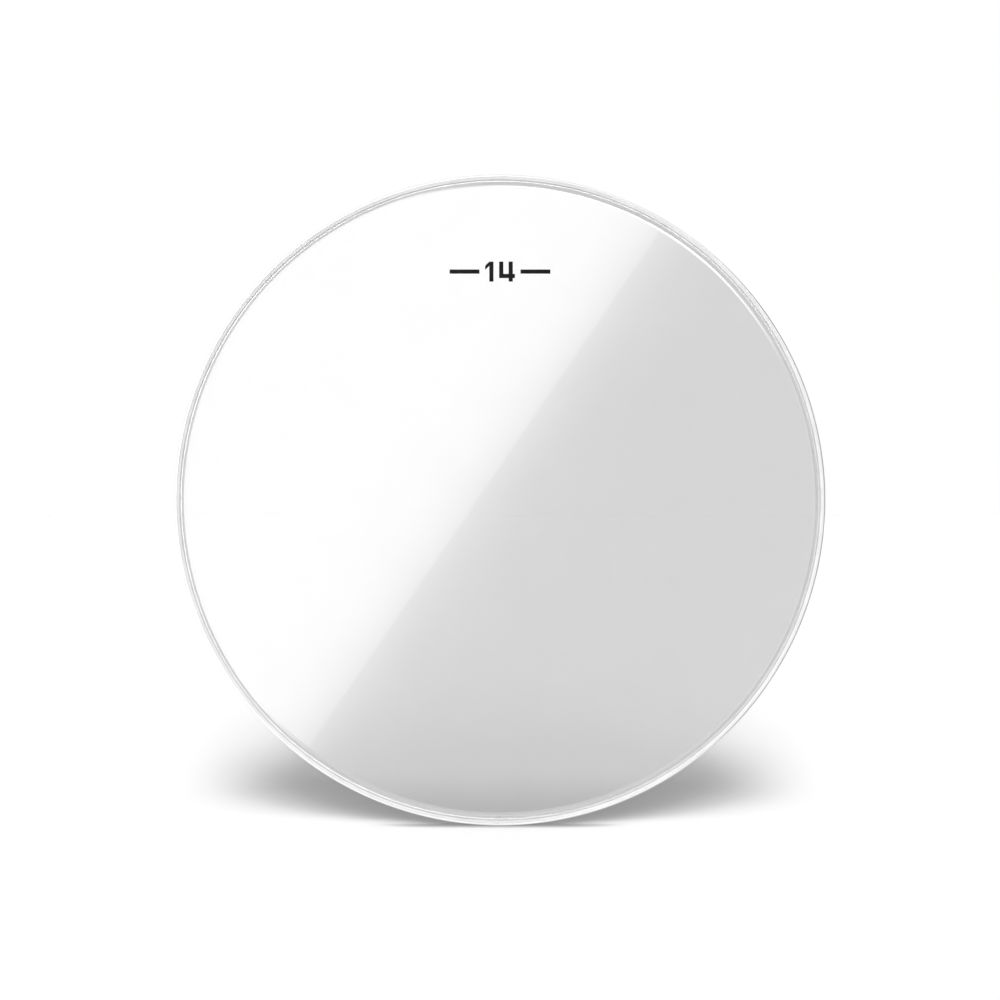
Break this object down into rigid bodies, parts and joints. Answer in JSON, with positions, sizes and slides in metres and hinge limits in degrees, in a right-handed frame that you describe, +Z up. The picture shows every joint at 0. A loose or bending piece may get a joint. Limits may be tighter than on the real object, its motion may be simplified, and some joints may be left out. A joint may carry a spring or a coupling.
{
  "type": "drum head",
  "caption": "Clear plastic drum head: nested films with a formed collar, cast with resin into a rolled aluminium channel hoop that fits over a drum shell under a counterhoop.",
  "frame": {"origin": "centre of the underside of the lower film, where the shell's bearing edge meets the head", "axes": "+Y along the head's axis, from the playing face towards the drum; +Z up, through the printed mark, as the head stands in the picture"},
  "size_m": [0.372, 0.0139, 0.372],
  "materials": {
    "clear_film": "clear polyester film, glossy",
    "hoop_aluminium": "rolled, satin, fine lines along the ring",
    "weld_aluminium": "dressed flush, slightly duller",
    "cast_resin": "cast, milky",
    "mark_ink": "screen-printed ink"
  },
  "bodies": {
    "root": {"top_ply": "clear_film", "bottom_ply": "clear_film", "flesh_hoop": "hoop_aluminium", "hoop_weld": "weld_aluminium", "resin_bond": "cast_resin", "size_mark": "mark_ink"}
  },
  "joints": []
}
